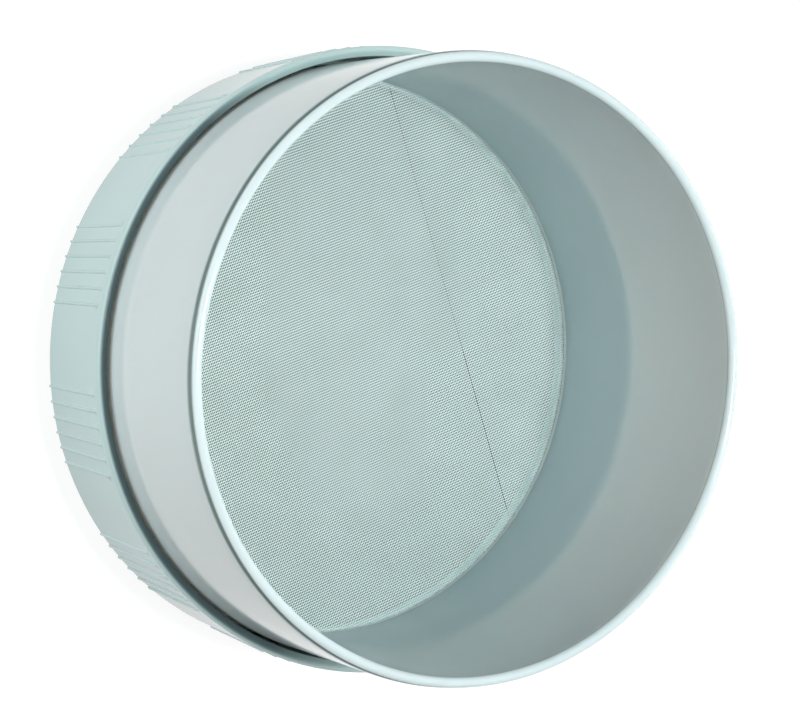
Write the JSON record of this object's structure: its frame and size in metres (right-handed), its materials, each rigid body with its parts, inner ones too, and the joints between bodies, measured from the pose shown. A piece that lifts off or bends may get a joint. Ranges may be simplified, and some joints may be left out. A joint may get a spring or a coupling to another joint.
{
  "type": "tamis drum sieve",
  "caption": "Round drum sieve: a beaded plastic hoop screws into a ribbed grip ring and clamps a framed woven wire mesh.",
  "frame": {"origin": "centre of the grip ring's foot, on the surface that the drum stands on", "axes": "+Z along the drum's axis, from the mesh towards the beaded rim; the drum stands mesh down"},
  "size_m": [0.2196, 0.2196, 0.1136],
  "materials": {
    "ring_plastic": "glossy moulded pale plastic",
    "hoop_plastic": "glossy, slightly translucent pale plastic",
    "mesh_steel": "bright woven stainless wire",
    "frame_steel": "satin stainless sheet",
    "seal_silicone": "matt translucent silicone"
  },
  "bodies": {
    "grip_ring": {"grip_ring": "ring_plastic"},
    "screen": {"mesh_frame": "frame_steel", "wire_mesh": "mesh_steel"},
    "seal": {"seal_ring": "seal_silicone"},
    "hoop": {"hoop": "hoop_plastic"}
  },
  "joints": [
    {"name": "hoop_lift", "type": "slide", "parent": "grip_ring", "child": "seal", "axis": [0, 0, 1], "range_m": [0, 0.1]},
    {"name": "hoop_turn", "type": "hinge", "parent": "seal", "child": "hoop", "pos_m": [0, 0, 0], "axis": [0, 0, 1], "range_deg": [0, 740]},
    {"name": "screen_lift", "type": "slide", "parent": "grip_ring", "child": "screen", "axis": [0, 0, 1], "range_m": [0, 0.05]}
  ],
  "couplings": [
    {"joint": "hoop_lift", "follows": "hoop_turn", "m_per_rad": 0.0076394},
    {"joint": "screen_lift", "follows": "hoop_turn", "m_per_rad": 0.0038197}
  ]
}
